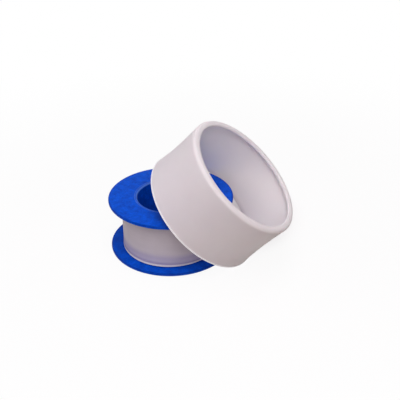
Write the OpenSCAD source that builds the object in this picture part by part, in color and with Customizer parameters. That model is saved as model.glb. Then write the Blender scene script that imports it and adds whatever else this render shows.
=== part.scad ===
// Thread seal tape roll: a two-flange spool, the tape wound on it, and a slip-off cover ring that leans
// over the spool with its open end hooked over the edge of the top flange.
// Millimetres, +Z up, origin on the axis of the hub at the face that the spool stands on.

/* [Tape] */
// Width of the tape
tape_w = 19; // [10:0.5:30]
// Thickness of the tape in the outermost turn
tape_t = 0.2; // [0.1:0.05:0.4]
// Build of the wound pack on the hub, under the outermost turn
pack_build = 4.2; // [2:0.1:6]
// Clear space between the outermost turn and its own lapped end
lap_gap = 0.45; // [0.42:0.01:0.8]
// Angle over which the free end laps its own start
lap_angle = 25; // [10:5:60]
// Direction of the free end, turned from +X
free_end_angle = 100; // [60:5:140]

/* [Spool] */
// Diameter of the flanges
flange_d = 50; // [46:1:70]
// Thickness of a flange
flange_t = 1.2; // [0.8:0.1:2.5]
// Radius on the edges of the flanges
flange_round = 0.4; // [0.1:0.05:0.4]
// Diameter of the hole through the hub
bore_d = 27; // [20:0.5:28]
// Wall of the hub tube
hub_wall = 1.6; // [1.2:0.1:2.5]
// Wall left on the stepped end that carries the top flange
spigot_wall = 1.1; // [0.8:0.05:1.1]
// Radius of the lead-in at the top of the hole
lead_in = 0.8; // [0.2:0.1:0.8]
// Free space on each side of the tape
side_play = 0.4; // [0.1:0.1:1]

/* [Cover] */
// How far the rim reaches past the spool's far flange when the cover is fitted
rim_past = 1.7; // [0.4:0.1:4]
// Clear space round the flange inside the cover's open end
cover_play = 0.4; // [0.1:0.05:1]
// Wall of the cover
cover_wall = 0.8; // [0.6:0.1:1.5]
// Wall at the rim of the open end
rim_wall = 0.9; // [0.9:0.1:2]
// Radius on the edges of the rim
rim_round = 0.35; // [0.1:0.05:0.45]
// How far the waist of the wall draws in from the rim, inside
waist_depth = 0.75; // [0:0.05:1]
// How far the wall flares out again from the waist to the lip
shoulder_flare = 0.15; // [0:0.05:1]
// Width of the stop lip, from the wall inwards
lip_w = 1.9; // [1.2:0.1:6]
// Thickness of the stop lip
lip_t = 1.2; // [0.8:0.1:2.5]
// Radius of the shoulder outside the lip
shoulder_round = 1.2; // [0.4:0.1:1.4]

/* [Lean] */
// Angle between the cover's axis and the upright
lean = 42.75; // [38:0.25:50]
// Clear space between the rim and the edge of the flange that it hooks over
hook_play = 0.4; // [0.3:0.05:1]
// How far the cover stands to one side of the line of its lean
side_shift = 0.7; // [0:0.1:1.5]
// Least space between the rim's low edge and the lower flange
foot_gap = 1; // [0.5:0.1:5]

/* [Hidden] */
$fn = 180;

// Running gap between pieces of the spool that are pressed or wound on each other
seat_play = 0.03;
// Pieces of each rounded edge, of each half of the cover's wall, and of a full turn of tape
round_steps = 6;
wall_steps = 12;
turn_steps = 72;

flange_r = flange_d / 2;
bore_r = bore_d / 2;
hub_r = bore_r + hub_wall;
spigot_r = bore_r + spigot_wall;
spool_h = tape_w + 2 * side_play + 2 * flange_t;
top_flange_z = spool_h - flange_t;

tape_z = flange_t + side_play;
core_in_r = hub_r + seat_play;
core_r = core_in_r + pack_build;
turn_in_r = core_r + seat_play;
turn_pitch = tape_t + lap_gap;
turn_angle = 360 + lap_angle;
turn_start_angle = free_end_angle - lap_angle;

// The cover's wall inside and outside, at its rim, waist and shoulder
rim_in_r = flange_r + cover_play;
rim_r = rim_in_r + rim_wall;
waist_in_r = rim_in_r - waist_depth;
waist_r = waist_in_r + cover_wall;
shoulder_in_r = waist_in_r + shoulder_flare;
shoulder_r = shoulder_in_r + cover_wall;
lip_r = shoulder_in_r - lip_w;
cover_h = rim_past + spool_h + lip_t;
waist_share = 0.556;
waist_z = waist_share * cover_h;
shoulder_z = cover_h - shoulder_round;
lip_z = cover_h - lip_t;
lip_round_share = 0.45;
lip_round = lip_round_share * lip_t;

// The cover's lean: its low edge stands on the floor, its rim passes the top flange's edge at hook_play,
// and its low edge stays foot_gap away from the lower flange
cover_z = (rim_r - rim_round) * sin(lean) + rim_round * (1 - cos(lean));
flange_over = spool_h - cover_z;
hook_r = rim_in_r - hook_play;
hook_y = sqrt(max(0, hook_r ^ 2 - (flange_over / sin(lean)) ^ 2)) - side_shift;
hook_x = sqrt(max(0, flange_r ^ 2 - hook_y ^ 2)) + flange_over / tan(lean);
foot_x = flange_r + foot_gap - rim_in_r * cos(lean);
cover_x = max(hook_x, foot_x);

// Points of an arc about a centre, from one angle to another
function arc(centre, r, from, to) =
    [for (i = [0 : round_steps]) let (a = from + (to - from) * i / round_steps)
        centre + r * [cos(a), sin(a)]];

// Radius of the cover's wall at height z: two parabolas that meet level at the waist
function wall_r(z, at_rim, at_waist, at_shoulder) =
    z < waist_z
        ? at_waist + (at_rim - at_waist) * ((waist_z - z) / waist_z) ^ 2
        : at_waist + (at_shoulder - at_waist) * ((z - waist_z) / (shoulder_z - waist_z)) ^ 2;
function outer_r(z) = wall_r(z, rim_r, waist_r, shoulder_r);
function inner_r(z) = wall_r(z, rim_in_r, waist_in_r, shoulder_in_r);

// Heights spread evenly between two levels, both ends left out
function between(low, high) = [for (i = [1 : wall_steps - 1]) low + (high - low) * i / wall_steps];
function reversed(list) = [for (i = [len(list) - 1 : -1 : 0]) list[i]];

// Half section of the cover, as radius and height on its own axis
wall_zs = concat(between(rim_round, waist_z), [waist_z], between(waist_z, shoulder_z));
inner_zs = concat(between(rim_round, waist_z), [waist_z], between(waist_z, lip_z), [lip_z]);
cover_outline = concat(
    arc([rim_r - rim_round, rim_round], rim_round, -90, 0),
    [for (z = wall_zs) [outer_r(z), z]],
    arc([shoulder_r - shoulder_round, shoulder_z], shoulder_round, 0, 90),
    arc([lip_r + lip_round, cover_h - lip_round], lip_round, 90, 180),
    [[lip_r, lip_z]],
    [for (z = reversed(inner_zs)) [inner_r(z), z]],
    arc([rim_in_r + rim_round, rim_round], rim_round, 180, 270)
);

// The outermost turn: a strip on an even spiral, whose radius grows by turn_pitch in each turn
turn_count = round(turn_steps * turn_angle / 360);
turn_as = [for (i = [0 : turn_count]) 360 * i / turn_steps];
function turn_point(a, out) =
    (turn_in_r + out + turn_pitch * a / 360) * [cos(turn_start_angle + a), sin(turn_start_angle + a)];
turn_inside = [for (a = turn_as) turn_point(a, 0)];
turn_outside = [for (a = turn_as) turn_point(a, tape_t)];

// Least distance between the lapped end's inside and the start's outside
lap_points = [for (i = [0 : turn_count]) if (turn_as[i] >= 360) turn_inside[i]];
start_points = [for (i = [0 : turn_count]) if (turn_as[i] <= 2 * lap_angle) turn_outside[i]];
least_gap = min([for (p = lap_points) for (q = start_points) norm(p - q)]);
echo("least gap of the outermost turn to itself, mm", least_gap);

// Rounded edge of a flange whose lower face lies at height z
function flange_edge(z) = concat(
    arc([flange_r - flange_round, z + flange_round], flange_round, -90, 0),
    arc([flange_r - flange_round, z + flange_t - flange_round], flange_round, 0, 90)
);

// Lower flange and hub tube: a shoulder carries the top flange, and the stepped end passes up through it
module spool_body() {
    color("#0a44b4")
        rotate_extrude()
            polygon(concat(
                [[bore_r, 0]],
                flange_edge(0),
                [[hub_r, flange_t], [hub_r, top_flange_z], [spigot_r, top_flange_z], [spigot_r, spool_h]],
                arc([bore_r + lead_in, spool_h - lead_in], lead_in, 90, 180)
            ));
}

module top_flange() {
    color("#0a44b4")
        rotate_extrude()
            polygon(concat(
                [[spigot_r + seat_play, top_flange_z]],
                flange_edge(top_flange_z),
                [[spigot_r + seat_play, spool_h]]
            ));
}

module tape_core() {
    color("#e4e0e6")
        rotate_extrude()
            translate([core_in_r, tape_z])
                square([pack_build, tape_w]);
}

module tape_outer_turn() {
    color("#f0edf0")
        translate([0, 0, tape_z])
            linear_extrude(height = tape_w)
                polygon(concat(turn_inside, reversed(turn_outside)));
}

module cover_ring() {
    color("#f2eef0")
        translate([cover_x, -side_shift, cover_z])
            rotate([0, lean, 0])
                rotate_extrude()
                    polygon(cover_outline);
}

spool_body();
top_flange();
tape_core();
tape_outer_turn();
cover_ring();
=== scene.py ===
import math

import bpy
import numpy as np
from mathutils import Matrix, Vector


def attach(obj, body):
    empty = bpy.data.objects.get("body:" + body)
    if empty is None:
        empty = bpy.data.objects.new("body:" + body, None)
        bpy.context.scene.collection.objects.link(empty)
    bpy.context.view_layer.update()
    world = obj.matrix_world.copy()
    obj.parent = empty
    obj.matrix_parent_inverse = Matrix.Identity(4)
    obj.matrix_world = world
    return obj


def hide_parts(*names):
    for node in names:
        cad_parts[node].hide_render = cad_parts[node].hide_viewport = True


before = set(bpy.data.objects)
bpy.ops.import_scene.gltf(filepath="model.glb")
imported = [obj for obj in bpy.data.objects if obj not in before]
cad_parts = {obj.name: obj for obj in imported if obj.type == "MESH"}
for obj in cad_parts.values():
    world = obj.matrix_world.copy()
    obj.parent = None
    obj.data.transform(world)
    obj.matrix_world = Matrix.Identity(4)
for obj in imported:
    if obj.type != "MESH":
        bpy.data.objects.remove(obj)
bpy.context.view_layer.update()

MM = 0.001

# Sizes in millimetres and angles in degrees, as the solids have them.
FLANGE_R, FLANGE_T, FLANGE_ROUND = 25.0, 1.2, 0.4
BORE_R, HUB_R, SPIGOT_R, LEAD_IN = 13.5, 15.1, 14.6, 0.8
SPOOL_H, TOP_FLANGE_Z, SEAT_PLAY = 22.2, 21.0, 0.03
TAPE_Z, TAPE_W, FILM_T, CORE_IN_R = 1.6, 19.0, 0.2, 15.13
TURN_START, TURN_ANGLE = 75.0, 385.0
RIM_R, RIM_IN_R, RIM_ROUND = 26.3, 25.4, 0.35
WAIST_R, WAIST_IN_R, WAIST_Z = 25.45, 24.65, 13.9556
SHOULDER_R, SHOULDER_IN_R, SHOULDER_ROUND = 25.6, 24.8, 1.2
COVER_H, LIP_R, LIP_T, LIP_ROUND = 25.1, 22.9, 1.2, 0.54
COVER_X, COVER_Y, COVER_Z, LEAN = 13.638, -0.7, 17.708, math.radians(42.75)

# Sizes in millimetres that only the scene has: tape that is wound closer than its solids, and small roundings.
CORE_R, CORE_INSET, TURN_IN_R, TURN_PITCH = 19.55, 0.1, 19.6, 0.3
FOOT_ROUND, HUB_FILLET, STEP_ROUND, STEP_FILLET, SPIGOT_ROUND = 0.3, 0.35, 0.1, 0.05, 0.2
SEAT_UNDER_ROUND, SEAT_ROUND = 0.1, 0.15
LIP_UNDER_ROUND, LIP_FILLET = 0.2, 1.1

# Steps round the axis of the spool, the wound core and the cover.
SPOOL_TURN, CORE_TURN, COVER_TURN = 256, 240, 288

# Sockets of a Mix node: factor, the two numbers, the two colours, and the outputs for a number and a colour.
FACTOR, NUMBER_A, NUMBER_B, COLOUR_A, COLOUR_B = 0, 2, 3, 6, 7
MIXED_NUMBER, MIXED_COLOUR = 0, 2


# Surfaces

def crowded(share):
    """Shares from 0 to 1, drawn closer together near both ends: (1 - cosine of that share of a half turn) / 2."""
    return (1 - np.cos(np.pi * share)) / 2


def arc(centre, radius, start, end, steps, weight=0.0):
    """Points on a circle about centre, between two angles in degrees: centre + radius * (cosine, sine), with one
    edge weight."""
    a = np.radians(np.linspace(start, end, steps + 1))
    return np.column_stack([centre[0] + radius * np.cos(a), centre[1] + radius * np.sin(a), np.full_like(a, weight)])


def side(start, end, steps, weight=0.0):
    """Points inside a straight side, closer together near its two ends, with one edge weight."""
    t = crowded(np.arange(1, steps) / steps)
    start, end = np.array(start, float), np.array(end, float)
    return np.column_stack([start + (end - start) * t[:, None], np.full_like(t, weight)])


def filleted(corners, steps=10, side_steps=12):
    """Closed outline with rounded corners, as radius, height and an edge weight that is 1 at mid arc and 0 on the
    sides. Each corner is radius, height and rounding. An arc touches both sides of a corner: its centre lies on the
    bisector, at rounding / sin(half the corner's angle), and the arc is the spherical blend of the two feet. Sides
    between arcs get points that crowd towards the arcs."""
    rows = np.array(corners, float)
    point, rounding = rows[:, :2], rows[:, 2:]
    back = np.roll(point, 1, axis=0) - point
    ahead = np.roll(point, -1, axis=0) - point
    back /= np.linalg.norm(back, axis=1, keepdims=True)
    ahead /= np.linalg.norm(ahead, axis=1, keepdims=True)
    half = np.arccos(np.sum(back * ahead, axis=1, keepdims=True)) / 2
    bisector = (back + ahead) / np.linalg.norm(back + ahead, axis=1, keepdims=True)
    centre = point + bisector * rounding / np.sin(half)
    foot_in = point + back * rounding / np.tan(half)
    foot_out = point + ahead * rounding / np.tan(half)
    t = np.linspace(0, 1, steps + 1)
    swing = np.pi - 2 * half
    from_in = (np.sin((1 - t) * swing) / np.sin(swing))[..., None]
    from_out = (np.sin(t * swing) / np.sin(swing))[..., None]
    arcs = centre[:, None] + from_in * (foot_in - centre)[:, None] + from_out * (foot_out - centre)[:, None]
    share = crowded(np.arange(1, side_steps) / side_steps)[None, :, None]
    sides = foot_out[:, None] + (np.roll(foot_in, -1, axis=0) - foot_out)[:, None] * share
    line = np.concatenate([arcs, sides], axis=1)
    weight = np.concatenate([np.sin(np.pi * t), np.zeros(side_steps - 1)])
    weight = np.broadcast_to(weight, line.shape[:2])
    return np.concatenate([line, weight[..., None]], axis=2).reshape(-1, 3)


def revolved(outline, steps):
    """An outline of radius r and height z carried round the upright axis: (r cos a, r sin a, z) on a grid of outline
    points by turn angles."""
    a = np.linspace(0, 2 * np.pi, steps, endpoint=False)
    r, z = outline[:, :1], outline[:, 1:2]
    return np.stack([r * np.cos(a), r * np.sin(a), z + 0 * a], axis=2)


def quads(rows, columns, ring_rows, ring_columns):
    """Corner numbers of the faces of a grid, which closes on itself along its rows, its columns or both."""
    i, j = np.meshgrid(np.arange(rows if ring_rows else rows - 1),
                       np.arange(columns if ring_columns else columns - 1), indexing="ij")
    i2, j2 = (i + 1) % rows, (j + 1) % columns
    corners = [i * columns + j, i * columns + j2, i2 * columns + j2, i2 * columns + j]
    return np.stack(corners, axis=2).reshape(-1, 4)


def piece(name, grid, material, edge, body, node, uv=None, ring_columns=True):
    """A closed shell from a grid of points in millimetres, whose rows close on themselves. Where its columns don't,
    both ends get a cap of strips that join a point to the one across the section. The faces are turned round if the
    summed volume of the cones from the origin is negative, so that they point outwards."""
    rows, columns = grid.shape[:2]
    points = grid.reshape(-1, 3) * MM
    faces = quads(rows, columns, True, ring_columns)
    if not ring_columns:
        k = np.arange(rows // 2 - 1)
        across = np.stack([k, k + 1, rows - 2 - k, rows - 1 - k], axis=1) * columns
        faces = np.concatenate([faces, across, across[:, ::-1] + columns - 1])
    corner = points[faces]
    halves = [np.einsum("ij,ij->i", corner[:, 0], np.cross(corner[:, m], corner[:, m + 1])).sum() for m in (1, 2)]
    if sum(halves) < 0:
        faces = faces[:, ::-1]
    mesh = bpy.data.meshes.new(name)
    mesh.from_pydata(points, [], faces)
    mesh.polygons.foreach_set("use_smooth", np.ones(len(faces), bool))
    weights = np.broadcast_to(edge, (rows, columns)).ravel().astype(np.float32)
    mesh.attributes.new("edge", "FLOAT", "POINT").data.foreach_set("value", weights)
    if uv is not None:
        layer = mesh.uv_layers.new(name="film")
        loops = np.empty(len(mesh.loops), np.int32)
        mesh.loops.foreach_get("vertex_index", loops)
        layer.uv.foreach_set("vector", (uv.reshape(-1, 2)[loops] * MM).astype(np.float32).ravel())
    mesh.materials.append(material)
    mesh.update()
    shell = bpy.data.objects.new(name, mesh)
    bpy.context.scene.collection.objects.link(shell)
    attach(shell, body)
    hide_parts(node)


# Finishes

def linear(code):
    """An sRGB hex colour as linear red, green, blue and alpha."""
    c = np.array([int(code[k:k + 2], 16) for k in (1, 3, 5)]) / 255
    return (*np.where(c <= 0.04045, c / 12.92, ((c + 0.055) / 1.055) ** 2.4).tolist(), 1.0)


def add(tree, kind, values={}, links={}, **settings):
    """Adds a node with its settings, the values of its sockets and the links into them."""
    node = tree.nodes.new(kind)
    for key, value in settings.items():
        setattr(node, key, value)
    for key, value in values.items():
        node.inputs[key].default_value = value
    for key, socket in links.items():
        tree.links.new(socket, node.inputs[key])
    return node


def finish_named(name):
    """An empty material and its node tree."""
    material = bpy.data.materials.new(name)
    material.use_nodes = True
    material.node_tree.nodes.clear()
    return material, material.node_tree


def polypropylene_moulded_blue():
    """Polypropylene, injection moulded in a lightly etched mould: a deep even blue with a satin skin, faint mottling
    from the flow of the melt and a fine grain. The edges carry painted light: a painted dark outline on the outer
    edges, and painted pale highlights at the hub and on the undersides, where the edge weight is negative."""
    flow_size, grain_size, grain_depth = 2.5 * MM, 0.6 * MM, 0.04 * MM
    # The last two colours are painted light: a dark outline on the outer edges, and pale highlights on the hub and
    # underside edges.
    deep, bright, painted_outline_navy, painted_edge_pale = map(linear, ("#0041b5", "#005be1", "#001c74", "#5c84d6"))
    grain_share, painted_outline_share, painted_pale_share = 0.4, 0.6, 0.75
    material, t = finish_named("polypropylene_moulded_blue_satin")
    place = add(t, "ShaderNodeTexCoord").outputs["Object"]
    flow = add(t, "ShaderNodeTexNoise", {"Scale": 1 / flow_size, "Detail": 4, "Roughness": 0.65}, {"Vector": place})
    grain = add(t, "ShaderNodeTexNoise", {"Scale": 1 / grain_size, "Detail": 2, "Roughness": 0.7}, {"Vector": place})
    mottle = add(t, "ShaderNodeMix", {FACTOR: grain_share},
                 {NUMBER_A: flow.outputs["Fac"], NUMBER_B: grain.outputs["Fac"]}).outputs[MIXED_NUMBER]
    spread = add(t, "ShaderNodeMapRange", {"From Min": 0.37, "From Max": 0.63}, {"Value": mottle})
    blue = add(t, "ShaderNodeMix", {COLOUR_A: deep, COLOUR_B: bright}, {FACTOR: spread.outputs[0]}, data_type="RGBA")
    edge = add(t, "ShaderNodeAttribute", attribute_name="edge").outputs["Fac"]
    # Painted shade: a navy outline on the outer edges, where the edge weight is positive.
    outer = add(t, "ShaderNodeMapRange", {"To Max": painted_outline_share}, {"Value": edge})
    # Painted highlight: pale edges at the hub and on the undersides, where the edge weight is negative.
    rubbed = add(t, "ShaderNodeMapRange", {"From Max": -1.0, "To Max": painted_pale_share}, {"Value": edge})
    darker = add(t, "ShaderNodeMix", {COLOUR_B: painted_outline_navy},
                 {FACTOR: outer.outputs[0], COLOUR_A: blue.outputs[MIXED_COLOUR]}, data_type="RGBA")
    colour = add(t, "ShaderNodeMix", {COLOUR_B: painted_edge_pale},
                 {FACTOR: rubbed.outputs[0], COLOUR_A: darker.outputs[MIXED_COLOUR]}, data_type="RGBA")
    satin = add(t, "ShaderNodeMapRange", {"To Min": 0.4, "To Max": 0.56}, {"Value": grain.outputs["Fac"]})
    bump = add(t, "ShaderNodeBump", {"Strength": 0.6, "Distance": grain_depth}, {"Height": mottle})
    shader = add(t, "ShaderNodeBsdfPrincipled", {"IOR": 1.49, "Specular IOR Level": 0.06},
                 {"Base Color": colour.outputs[MIXED_COLOUR], "Roughness": satin.outputs[0],
                  "Normal": bump.outputs[0]})
    add(t, "ShaderNodeOutputMaterial", links={"Surface": shader.outputs[0]})
    return material


def polyethylene_moulded_white():
    """Polyethylene, injection moulded thin, so that light comes through the wall: a soft white with faint cloudy flow
    marks and a satin skin. Where the edge weight is negative, on the lip and inside, it is painted light: a lighter
    white. At the rim, where the edge weight is positive, it has a painted white highlight and a painted glow."""
    cloud_size, grain_size, grain_depth, light_reach = 9 * MM, 0.6 * MM, 0.02 * MM, 3 * MM
    # The pure white and the pinkish white are painted light: a highlight on the rim, and a lighter white on the lip and
    # inside.
    handled, fresh, painted_rim_white, painted_light_white = map(linear, ("#e5dcde", "#ebe3e4", "#ffffff", "#fff5f4"))
    painted_glow_from, painted_glow_most = 0.3, 0.2
    material, t = finish_named("polyethylene_moulded_white_satin")
    place = add(t, "ShaderNodeTexCoord").outputs["Object"]
    cloud = add(t, "ShaderNodeTexNoise", {"Scale": 1 / cloud_size, "Detail": 3, "Roughness": 0.55}, {"Vector": place})
    grain = add(t, "ShaderNodeTexNoise", {"Scale": 1 / grain_size, "Detail": 2}, {"Vector": place}).outputs["Fac"]
    white = add(t, "ShaderNodeMix", {COLOUR_A: handled, COLOUR_B: fresh}, {FACTOR: cloud.outputs["Fac"]},
                data_type="RGBA")
    edge = add(t, "ShaderNodeAttribute", attribute_name="edge").outputs["Fac"]
    # Painted highlight: white on the rim, where the edge weight is positive.
    rim = add(t, "ShaderNodeMix", {COLOUR_B: painted_rim_white}, {FACTOR: edge, COLOUR_A: white.outputs[MIXED_COLOUR]},
              data_type="RGBA")
    # Painted light: a lighter white on the shoulder, the lip and inside the wall, where the edge weight is negative.
    painted_light_share = add(t, "ShaderNodeMapRange", {"From Max": -1.0}, {"Value": edge})
    colour = add(t, "ShaderNodeMix", {COLOUR_B: painted_light_white},
                 {FACTOR: painted_light_share.outputs[0], COLOUR_A: rim.outputs[MIXED_COLOUR]}, data_type="RGBA")
    satin = add(t, "ShaderNodeMapRange", {"To Min": 0.5, "To Max": 0.62}, {"Value": grain})
    # Painted glow: the rim emits a little light, though the cover is no lamp.
    painted_glow = add(t, "ShaderNodeMapRange", {"From Min": painted_glow_from, "To Max": painted_glow_most}, {"Value": edge})
    bump = add(t, "ShaderNodeBump", {"Strength": 0.3, "Distance": grain_depth}, {"Height": grain})
    shader = add(t, "ShaderNodeBsdfPrincipled",
                 {"IOR": 1.51, "Specular IOR Level": 0.15, "Subsurface Weight": 0.8, "Subsurface Scale": light_reach,
                  "Subsurface Radius": (0.85, 1.0, 0.95), "Emission Color": painted_rim_white},
                 {"Base Color": colour.outputs[MIXED_COLOUR], "Roughness": satin.outputs[0],
                  "Emission Strength": painted_glow.outputs[0], "Normal": bump.outputs[0]})
    add(t, "ShaderNodeOutputMaterial", links={"Surface": shader.outputs[0]})
    return material


def ptfe_film_calendered():
    """Unsintered PTFE film, calendered and wound: a dull cool white, with fine streaks that run along the tape and a
    soft, slightly waxy sheen. Tints by height paint light at the lower edge, where the film turns out: a painted
    highlight, with painted lilac shade and reflection of the blue flange above it. The streaks are drawn 0.5 mm apart,
    coarser than the real ones, so that they show."""
    streak_length, streak_width, cloud_size, streak_depth = 40 * MM, 0.5 * MM, 6 * MM, 0.03 * MM
    dusky, painted_edge_pale = map(linear, ("#d1c9ce", "#e8e1e5"))
    # Painted light by height: white at the lower edge as a painted highlight, with lilac bands above it as painted
    # shade and reflection of the blue flange.
    painted_edge_height = 8 * MM
    painted_edge_tints = [(0.0, "#ffffff"), (0.05, "#ffffff"), (0.1, "#a7a1c8"), (0.15, "#d6d2e8"), (0.25, "#e3e0f0"),
                  (0.4, "#dcd9ee"), (0.65, "#f3f2f5")]
    material, t = finish_named("ptfe_film_calendered_white")
    film = add(t, "ShaderNodeUVMap", uv_map="film").outputs["UV"]
    along = add(t, "ShaderNodeMapping", {"Scale": (1 / streak_length, 1 / streak_width, 1)}, {"Vector": film})
    streak = add(t, "ShaderNodeTexNoise", {"Scale": 1, "Detail": 3, "Roughness": 0.6},
                 {"Vector": along.outputs[0]}).outputs["Fac"]
    place = add(t, "ShaderNodeTexCoord").outputs["Object"]
    cloud = add(t, "ShaderNodeTexNoise", {"Scale": 1 / cloud_size, "Detail": 2}, {"Vector": place})
    both = add(t, "ShaderNodeMix", {FACTOR: 0.5}, {NUMBER_A: streak, NUMBER_B: cloud.outputs["Fac"]})
    plain = add(t, "ShaderNodeMix", {COLOUR_A: dusky, COLOUR_B: painted_edge_pale}, {FACTOR: both.outputs[MIXED_NUMBER]},
                data_type="RGBA")
    height = add(t, "ShaderNodeSeparateXYZ", {}, {0: film}).outputs["Y"]
    painted_edge_share = add(t, "ShaderNodeMapRange", {"From Max": painted_edge_height}, {"Value": height})
    painted_edge_tint = add(t, "ShaderNodeValToRGB", {}, {0: painted_edge_share.outputs[0]})
    for k, (at, code) in enumerate(painted_edge_tints):
        stop = painted_edge_tint.color_ramp.elements[k] if k < 2 else painted_edge_tint.color_ramp.elements.new(at)
        stop.position, stop.color = at, linear(code)
    colour = add(t, "ShaderNodeMix", {FACTOR: 1.0}, {COLOUR_A: plain.outputs[MIXED_COLOUR], COLOUR_B: painted_edge_tint.outputs[0]},
                 data_type="RGBA", blend_type="MULTIPLY")
    dull = add(t, "ShaderNodeMapRange", {"To Min": 0.45, "To Max": 0.62}, {"Value": streak})
    bump = add(t, "ShaderNodeBump", {"Strength": 0.4, "Distance": streak_depth}, {"Height": streak})
    shader = add(t, "ShaderNodeBsdfPrincipled", {"IOR": 1.36, "Specular IOR Level": 0.15},
                 {"Base Color": colour.outputs[MIXED_COLOUR], "Roughness": dull.outputs[0],
                  "Normal": bump.outputs[0]})
    add(t, "ShaderNodeOutputMaterial", links={"Surface": shader.outputs[0]})
    return material


# Pieces

def edge_weight(outline):
    """The weight of the roundings, which carries painted light. It is made negative near the hub and on the undersides,
    for painted pale highlights. Round the outside it is a bell curve of the distance to the flange's upper corner, for
    a painted dark outline."""
    rubbed_reach, painted_outline_reach = 0.5, 0.45
    r, z, weight = outline.T[:, :, None]
    upper = z > TAPE_Z + TAPE_W
    below = (z < FLANGE_T / 2) | (upper & (z < TOP_FLANGE_Z + FLANGE_T / 2))
    # Painted highlight on the edges near the hub and on the undersides.
    rubbed = (r < HUB_R + rubbed_reach) | below
    corner_z = np.where(upper, SPOOL_H, FLANGE_T)
    # Painted shade: a dark outline round the flanges' upper outer corners.
    dark = np.exp(-((FLANGE_R - r) ** 2 + (z - corner_z) ** 2) / painted_outline_reach ** 2)
    return np.where(rubbed, -weight, dark)


def spool_moulding(material):
    """Lower flange and hub tube: one outline with rounded edges, a fillet at the root of the hub, a step that carries
    the upper flange and a rounded lead-in at the top of the hole, carried round the axis."""
    outline = filleted([
        (BORE_R, 0, FOOT_ROUND), (FLANGE_R, 0, FLANGE_ROUND), (FLANGE_R, FLANGE_T, FLANGE_ROUND),
        (HUB_R, FLANGE_T, HUB_FILLET), (HUB_R, TOP_FLANGE_Z, STEP_ROUND), (SPIGOT_R, TOP_FLANGE_Z, STEP_FILLET),
        (SPIGOT_R, SPOOL_H, SPIGOT_ROUND), (BORE_R, SPOOL_H, LEAD_IN)])
    piece("spool_moulding", revolved(outline, SPOOL_TURN), material, edge_weight(outline),
          "spool", "spool_body")


def upper_flange(material):
    """Flat ring with rounded edges, carried round the axis."""
    inner = SPIGOT_R + SEAT_PLAY
    outline = filleted([
        (inner, TOP_FLANGE_Z, SEAT_UNDER_ROUND), (FLANGE_R, TOP_FLANGE_Z, FLANGE_ROUND),
        (FLANGE_R, SPOOL_H, FLANGE_ROUND), (inner, SPOOL_H, SEAT_ROUND)])
    piece("upper_flange", revolved(outline, SPOOL_TURN), material, edge_weight(outline),
          "spool", "top_flange")


def wound_core(material):
    """The turns under the outermost one: a tube whose two end faces are ribbed by the edges of the turns. Their height
    waves by the cosine of (radius / turn spacing - turn share), which makes one spiral, and fades out at the walls.
    The film's own coordinates are the way round at a middle radius, and the height plus a multiple of the radius, so
    that the streaks show on the end faces as rings."""
    rib_high, rib_spacing, rib_fade, face_depth = 0.06, 0.28, 0.2, 0.05
    middle_r, rings = 19, 4
    low, top = TAPE_Z + CORE_INSET, TAPE_Z + TAPE_W - CORE_INSET
    outline = np.concatenate([
        side((CORE_IN_R, low), (CORE_R, low), 96), side((CORE_R, low), (CORE_R, top), 24),
        side((CORE_R, top), (CORE_IN_R, top), 96), side((CORE_IN_R, top), (CORE_IN_R, low), 8)])
    grid = revolved(outline, CORE_TURN)
    r, z = outline[:, :1], outline[:, 1:2]
    a = np.linspace(0, 1, CORE_TURN, endpoint=False)
    on_face = np.where((z > low + face_depth) & (z < top - face_depth), 0, 1)
    ribbed = on_face * np.clip(np.minimum(r - CORE_IN_R, CORE_R - r) / rib_fade, 0, 1)
    grid[..., 2] += rib_high * ribbed * np.cos(2 * np.pi * (r / rib_spacing - a))
    uv = np.stack([middle_r * 2 * np.pi * a + 0 * r, z + rings * r + 0 * a], axis=2)
    piece("wound_core", grid, material, 0 * r, "spool", "tape_core", uv)


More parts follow.
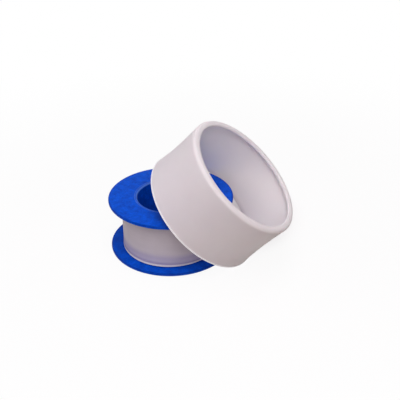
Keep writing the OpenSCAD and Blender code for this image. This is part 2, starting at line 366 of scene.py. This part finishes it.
def outer_turn(material):
    """The outermost turn: a film section carried along an even spiral, whose radius grows by one pitch in each turn.
    The section's radius adds a flare at the lower edge, low slanting creases and a lift of the free end. The flare is
    a hem and a wider skirt less a groove, each a bell curve of the height, and it dies away round from the front as a
    bell curve too. The creases are bell-shaped across and along. The lift grows as the square of the way to the end."""
    rows, columns, middle_r = 64, 640, 20
    front_at, front_reach = 268, 52
    hem_out, hem_reach, skirt_out, skirt_reach = 0.65, 0.9, 0.3, 4.0
    groove_in, groove_z, groove_reach = 0.2, 1.0, 0.35
    end_lift, end_reach = 0.5, 14
    # Each crease: middle in degrees along the turn, height there, reach in degrees, width, rise per degree, how high.
    crease_rows = np.array([
        [150, 3.0, 30, 0.9, 0.05, 0.10], [196, 6.5, 40, 1.3, -0.04, 0.07], [228, 3.6, 26, 0.8, 0.06, 0.08],
        [90, 12.0, 40, 1.2, 0.05, 0.06], [300, 9.0, 46, 1.1, -0.05, 0.07], [340, 4.5, 30, 0.9, 0.04, 0.08]])
    h = crowded(np.linspace(0, 1, rows)) * TAPE_W
    height = np.concatenate([h, h[::-1]])[:, None]
    out = np.concatenate([np.full(rows, FILM_T), np.zeros(rows)])[:, None]
    angle = np.linspace(0, TURN_ANGLE, columns)[None, :]
    front = np.exp(-((TURN_START + angle - front_at) / front_reach) ** 2)
    hem = hem_out * np.exp(-(height / hem_reach) ** 2)
    skirt = skirt_out * np.exp(-(height / skirt_reach) ** 2)
    groove = groove_in * np.exp(-((height - groove_z) / groove_reach) ** 2)
    middle, level, reach, width, rise, high = (column[:, None, None] for column in crease_rows.T)
    off_middle = angle - middle
    off_line = height - level - rise * off_middle
    creases = np.sum(high * np.exp(-(off_middle / reach) ** 2 - (off_line / width) ** 2), axis=0)
    lift = end_lift * np.clip((angle - TURN_ANGLE + end_reach) / end_reach, 0, 1) ** 2
    radius = TURN_IN_R + TURN_PITCH * angle / 360 + out + front * (hem + skirt - groove) + creases + lift
    a = np.radians(TURN_START + angle)
    grid = np.stack([radius * np.cos(a), radius * np.sin(a), TAPE_Z + height + 0 * a], axis=2)
    uv = np.stack(np.broadcast_arrays(middle_r * np.radians(angle), height), axis=2)
    piece("outer_turn", grid, material, 0 * height, "spool", "tape_outer_turn", uv, ring_columns=False)


def wall_radius(z, rim, waist, shoulder):
    """Radius of the cover's wall: from the waist it grows as the square of the height, to the rim below and to the
    shoulder above."""
    below, above = (WAIST_Z - z) / WAIST_Z, (z - WAIST_Z) / (COVER_H - SHOULDER_ROUND - WAIST_Z)
    return waist + np.where(z < WAIST_Z, (rim - waist) * below ** 2, (shoulder - waist) * above ** 2)


def slip_cover(material):
    """The cover: a waisted wall with a rounded rim at the open end and an inward lip at the other, as one outline
    carried round its own axis, which leans towards +X: a point (x, y, z) of it goes to x along the leaning plane, y
    along Y and z along the axis. A low fold runs along the outside of the wall, bell-shaped across and along. The edge
    weight, which carries painted light, is 1 at the rim and dies away up the wall as a bell curve, for a painted
    highlight and glow there. It is a little negative on the shoulder and the lip, and -1 on the inside of the wall,
    where it fades to 0 towards the rim: there it paints the white lighter."""
    # Negative weights paint the white lighter on the shoulder, the lip and the inside of the wall.
    on_shoulder, on_lip, inside = -0.15, -0.35, -1.0
    painted_rim_reach, painted_light_fade, crowd_to_rim = 0.5, 2, 1.5
    fold_high, fold_turn, fold_width, fold_z, fold_reach, skin = 0.12, -65, 2.2, 8.4, 4, 0.02
    top, shoulder_z = COVER_H - LIP_T, COVER_H - SHOULDER_ROUND
    root_z, shoulder_in = top - LIP_FILLET, SHOULDER_R - SHOULDER_ROUND
    lip_out, lip_under = LIP_R + LIP_ROUND, LIP_R + LIP_UNDER_ROUND
    outer_z = RIM_ROUND + (shoulder_z - RIM_ROUND) * np.linspace(0, 1, 80)[1:-1] ** crowd_to_rim
    inner_z = np.linspace(root_z, RIM_ROUND, 72)[1:-1]
    # The outer wall's weight is a painted highlight and glow at the rim, dying away up the wall.
    outer = np.column_stack([wall_radius(outer_z, RIM_R, WAIST_R, SHOULDER_R), outer_z,
                             np.exp(-((outer_z - RIM_ROUND) / painted_rim_reach) ** 2)])
    inner = np.column_stack([wall_radius(inner_z, RIM_IN_R, WAIST_IN_R, SHOULDER_IN_R), inner_z,
                             inside * np.clip((inner_z - RIM_ROUND) / painted_light_fade, 0, 1)])
    root_r = wall_radius(root_z, RIM_IN_R, WAIST_IN_R, SHOULDER_IN_R) - LIP_FILLET
    outline = np.concatenate([
        arc((RIM_R - RIM_ROUND, RIM_ROUND), RIM_ROUND, -90, 0, 10, 1.0),
        outer,
        arc((shoulder_in, shoulder_z), SHOULDER_ROUND, 0, 90, 18, on_shoulder),
        side((shoulder_in, COVER_H), (lip_out, COVER_H), 8, on_lip),
        arc((lip_out, COVER_H - LIP_ROUND), LIP_ROUND, 90, 180, 10, on_lip),
        side((LIP_R, COVER_H - LIP_ROUND), (LIP_R, top + LIP_UNDER_ROUND), 5, on_lip),
        arc((lip_under, top + LIP_UNDER_ROUND), LIP_UNDER_ROUND, 180, 270, 6),
        side((lip_under, top), (root_r, top), 8),
        arc((root_r, root_z), LIP_FILLET, 90, 0, 12, inside),
        inner,
        arc((RIM_IN_R + RIM_ROUND, RIM_ROUND), RIM_ROUND, 180, 270, 10)])
    x, y, z = np.moveaxis(revolved(outline, COVER_TURN), 2, 0)
    radius, turn = np.hypot(x, y), np.degrees(np.arctan2(y, x))
    bell = np.exp(-((turn - fold_turn) / fold_width) ** 2 - ((z - fold_z) / fold_reach) ** 2)
    swell = 1 + fold_high * (radius > RIM_IN_R + skin) * bell / radius
    x, y = x * swell, y * swell
    grid = np.stack([COVER_X + x * math.cos(LEAN) + z * math.sin(LEAN), COVER_Y + y,
                     COVER_Z - x * math.sin(LEAN) + z * math.cos(LEAN)], axis=2)
    piece("slip_cover", grid, material, outline[:, 2:], "cover", "cover_ring")


# Stage

LAMP_TINT, LAMP_SIZE, MIDDLE, LOW_MIDDLE = "#fdfafd", 300, (8, 0, 20), (8, 0, 12)
ROOM_STRENGTH = 0.06
# Each lamp: name, place and aim in millimetres, power in watts.
LAMPS = [
    ("top_lamp", (0, 0, 600), MIDDLE, 0.97),
    ("front_lamp", (0, -299, 520), MIDDLE, 0.78),
    ("right_lamp", (270, -270, 462), MIDDLE, 0.78),
    ("back_lamp", (0, 299, 520), MIDDLE, 0.22),
    ("camera_lamp", (163, -472, 333), MIDDLE, 0.78),
    ("left_lamp", (-573, -127, 127), LOW_MIDDLE, 0.87)]


def seen_share(t):
    """A socket that is 1 for what the camera, reflections and clear parts see, and 0 for other rays."""
    path = add(t, "ShaderNodeLightPath").outputs
    seen = add(t, "ShaderNodeMath", {}, {0: path["Is Camera Ray"], 1: path["Is Glossy Ray"]}, operation="MAXIMUM")
    seen = add(t, "ShaderNodeMath", {}, {0: seen.outputs[0], 1: path["Is Transmission Ray"]}, operation="MAXIMUM")
    return seen.outputs[0]


def floor():
    """A wide flat sheet just under the object. The camera, reflections and clear parts see it as white paper, which
    keeps the object's shadow most under and behind it, where the shadow falls, and is pure white far away. Other rays
    see it as pale card, so that it lights the object from below by little."""
    half_width, drop = 2500, 0.05
    shadow_at, shadow_reach = (14 * MM, 30 * MM, 0), 300 * MM
    white_shares = [(0.03, 0.1), (0.13, 0.92), (0.8, 1.0)]
    material, t = finish_named("paper_matt_white")
    card = add(t, "ShaderNodeBsdfDiffuse", {"Color": linear("#b7aca4")})
    paper = add(t, "ShaderNodeBsdfDiffuse", {"Color": linear("#fbf2f4")})
    white = add(t, "ShaderNodeEmission", {"Color": linear("#ffffff"), "Strength": 1.0})
    place = add(t, "ShaderNodeTexCoord").outputs["Object"]
    away = add(t, "ShaderNodeVectorMath", {1: shadow_at}, {0: place}, operation="DISTANCE")
    way = add(t, "ShaderNodeMapRange", {"From Max": shadow_reach}, {"Value": away.outputs["Value"]})
    share = add(t, "ShaderNodeValToRGB", {}, {0: way.outputs[0]})
    share.color_ramp.interpolation = "EASE"
    for k, (at, level) in enumerate(white_shares):
        stop = share.color_ramp.elements[k] if k < 2 else share.color_ramp.elements.new(at)
        stop.position, stop.color = at, (level, level, level, 1)
    shown = add(t, "ShaderNodeMixShader", {}, {0: share.outputs[0], 1: paper.outputs[0], 2: white.outputs[0]})
    both = add(t, "ShaderNodeMixShader", {}, {0: seen_share(t), 1: card.outputs[0], 2: shown.outputs[0]})
    add(t, "ShaderNodeOutputMaterial", links={"Surface": both.outputs[0]})
    span = np.linspace(-half_width, half_width, 3)
    x, y = np.meshgrid(span, span, indexing="ij")
    points = np.stack([x, y, 0 * x - drop], axis=2).reshape(-1, 3) * MM
    mesh = bpy.data.meshes.new("floor")
    mesh.from_pydata(points, [], quads(3, 3, False, False)[:, ::-1])
    mesh.materials.append(material)
    sheet = bpy.data.objects.new("floor", mesh)
    bpy.context.scene.collection.objects.link(sheet)


def surroundings():
    """A pale even room. The camera, reflections and clear parts see it as white."""
    world = bpy.data.worlds.new("room")
    bpy.context.scene.world = world
    world.use_nodes = True
    t = world.node_tree
    t.nodes.clear()
    room = add(t, "ShaderNodeBackground", {"Color": linear(LAMP_TINT), "Strength": ROOM_STRENGTH})
    white = add(t, "ShaderNodeBackground", {"Color": linear("#ffffff"), "Strength": 1.0})
    both = add(t, "ShaderNodeMixShader", {}, {0: seen_share(t), 1: room.outputs[0], 2: white.outputs[0]})
    add(t, "ShaderNodeOutputWorld", links={"Surface": both.outputs[0]})


def softbox(name, place, aim, power):
    """A square lamp at a place in millimetres, turned to face aim."""
    light = bpy.data.lights.new(name, "AREA")
    light.size, light.energy, light.color = LAMP_SIZE * MM, power, linear(LAMP_TINT)[:3]
    lamp = bpy.data.objects.new(name, light)
    bpy.context.scene.collection.objects.link(lamp)
    lamp.location = Vector(place) * MM
    lamp.rotation_euler = (Vector(aim) - Vector(place)).to_track_quat("-Z", "Y").to_euler()


def camera():
    """The photograph's view, fitted to the outlines of the flanges and the cover."""
    place, looks_down, turned = (70.96, -201.63, 139.82), 29.373, 16.254
    lens = bpy.data.cameras.new("camera")
    lens.lens, lens.sensor_width, lens.clip_start = 54.635, 36.0, 0.01
    view = bpy.data.objects.new("camera", lens)
    bpy.context.scene.collection.objects.link(view)
    view.location = Vector(place) * MM
    view.rotation_euler = (math.radians(90 - looks_down), 0, math.radians(turned))
    bpy.context.scene.camera = view


camera()
blue, white, film = polypropylene_moulded_blue(), polyethylene_moulded_white(), ptfe_film_calendered()
spool_moulding(blue)
upper_flange(blue)
wound_core(film)
outer_turn(film)
slip_cover(white)
floor()
surroundings()
for lamp_row in LAMPS:
    softbox(*lamp_row)
bpy.context.scene.view_settings.view_transform = "Standard"
